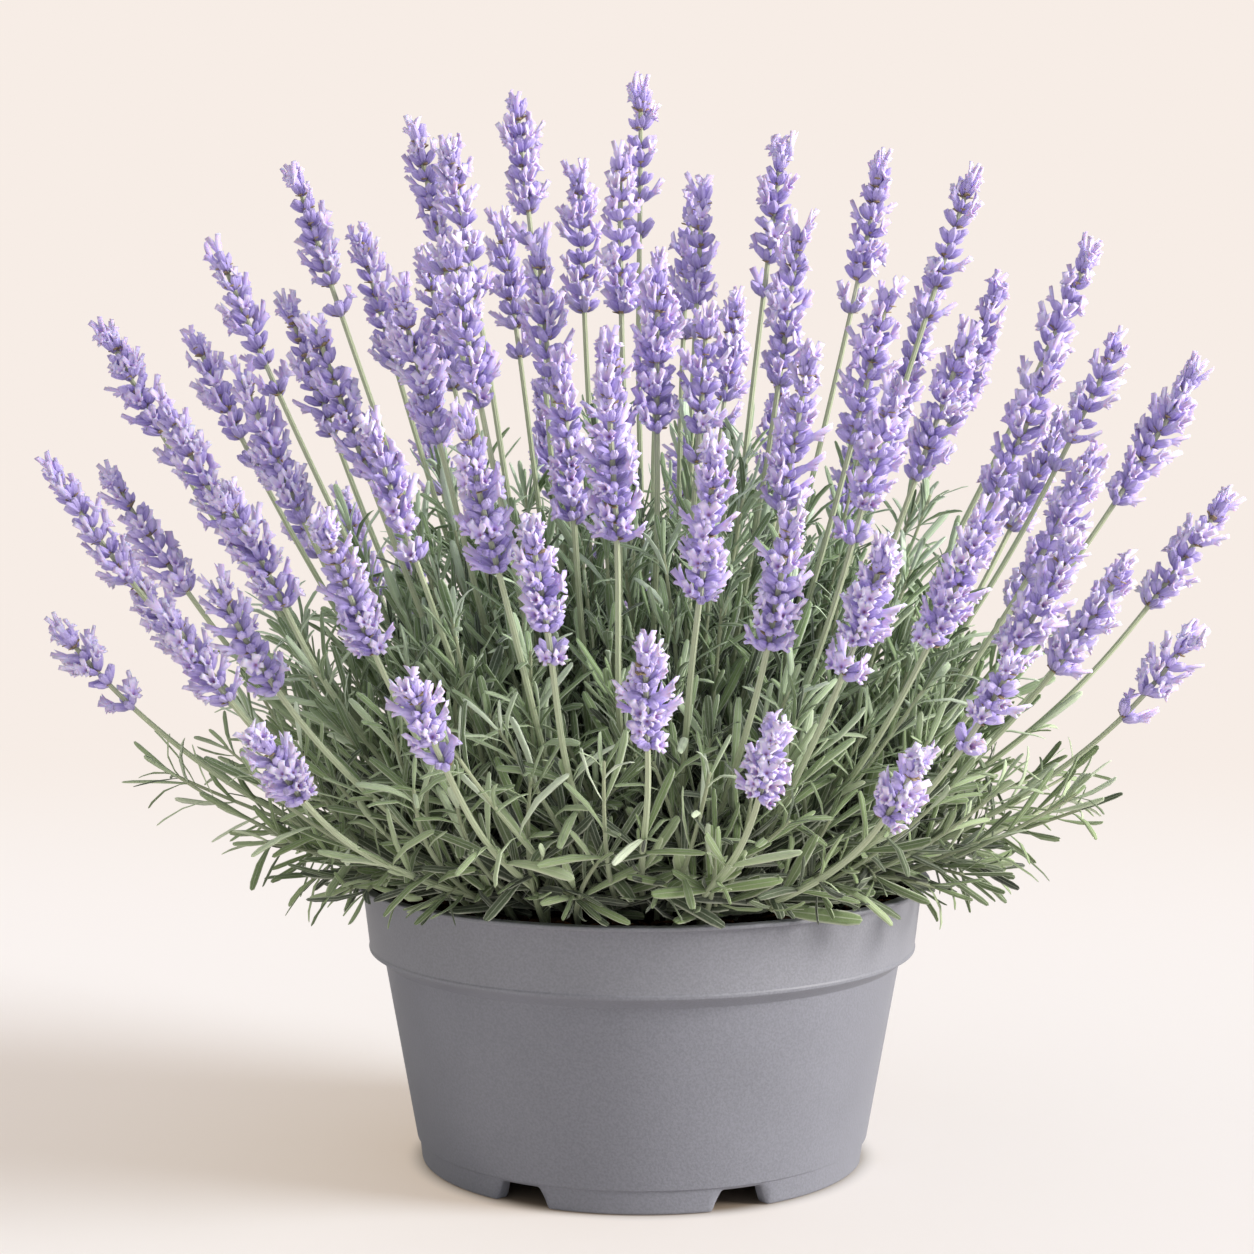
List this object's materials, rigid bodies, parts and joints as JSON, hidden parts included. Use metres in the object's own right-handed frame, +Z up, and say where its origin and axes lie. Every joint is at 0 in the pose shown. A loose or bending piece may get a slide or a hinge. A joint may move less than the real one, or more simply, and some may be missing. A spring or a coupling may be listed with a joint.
{
  "type": "potted lavender",
  "caption": "Rounded lavender plant in full bloom, slender leafy stems fanning out from compost in a squat tapered nursery pot with a deep collar and a notched foot",
  "frame": {"origin": "on the ground in the middle of the plant and pot", "axes": "+Z up, +X to the right and -Y to the front, the side with the low, short front spikes"},
  "size_m": [0.4546, 0.415, 0.4089],
  "materials": {
    "pot_plastic": "moulded grey polypropylene, fine matt texture with a soft sheen",
    "compost": null,
    "lavender_shoot": null
  },
  "bodies": {
    "root": {"pot": "pot_plastic", "compost": "compost", "flowering_shoot_01": "lavender_shoot", "flowering_shoot_02": "lavender_shoot", "flowering_shoot_03": "lavender_shoot", "flowering_shoot_04": "lavender_shoot", "flowering_shoot_05": "lavender_shoot", "flowering_shoot_06": "lavender_shoot", "flowering_shoot_07": "lavender_shoot", "flowering_shoot_08": "lavender_shoot", "flowering_shoot_09": "lavender_shoot", "flowering_shoot_10": "lavender_shoot", "flowering_shoot_11": "lavender_shoot", "flowering_shoot_12": "lavender_shoot", "flowering_shoot_13": "lavender_shoot", "flowering_shoot_14": "lavender_shoot", "flowering_shoot_15": "lavender_shoot", "flowering_shoot_16": "lavender_shoot", "flowering_shoot_17": "lavender_shoot", "flowering_shoot_18": "lavender_shoot", "flowering_shoot_19": "lavender_shoot", "flowering_shoot_20": "lavender_shoot", "flowering_shoot_21": "lavender_shoot", "flowering_shoot_22": "lavender_shoot", "flowering_shoot_23": "lavender_shoot", "flowering_shoot_24": "lavender_shoot", "flowering_shoot_25": "lavender_shoot", "flowering_shoot_26": "lavender_shoot", "flowering_shoot_27": "lavender_shoot", "flowering_shoot_28": "lavender_shoot", "flowering_shoot_29": "lavender_shoot", "flowering_shoot_30": "lavender_shoot", "flowering_shoot_31": "lavender_shoot", "flowering_shoot_32": "lavender_shoot", "flowering_shoot_33": "lavender_shoot", "flowering_shoot_34": "lavender_shoot", "flowering_shoot_35": "lavender_shoot", "flowering_shoot_36": "lavender_shoot", "flowering_shoot_37": "lavender_shoot", "flowering_shoot_38": "lavender_shoot", "flowering_shoot_39": "lavender_shoot", "flowering_shoot_40": "lavender_shoot", "flowering_shoot_41": "lavender_shoot", "flowering_shoot_42": "lavender_shoot", "flowering_shoot_43": "lavender_shoot", "flowering_shoot_44": "lavender_shoot", "flowering_shoot_45": "lavender_shoot", "flowering_shoot_46": "lavender_shoot", "flowering_shoot_47": "lavender_shoot", "flowering_shoot_48": "lavender_shoot", "flowering_shoot_49": "lavender_shoot", "flowering_shoot_50": "lavender_shoot", "flowering_shoot_51": "lavender_shoot", "flowering_shoot_52": "lavender_shoot", "flowering_shoot_53": "lavender_shoot", "flowering_shoot_54": "lavender_shoot", "flowering_shoot_55": "lavender_shoot", "flowering_shoot_56": "lavender_shoot", "flowering_shoot_57": "lavender_shoot", "flowering_shoot_58": "lavender_shoot"}
  },
  "joints": []
}
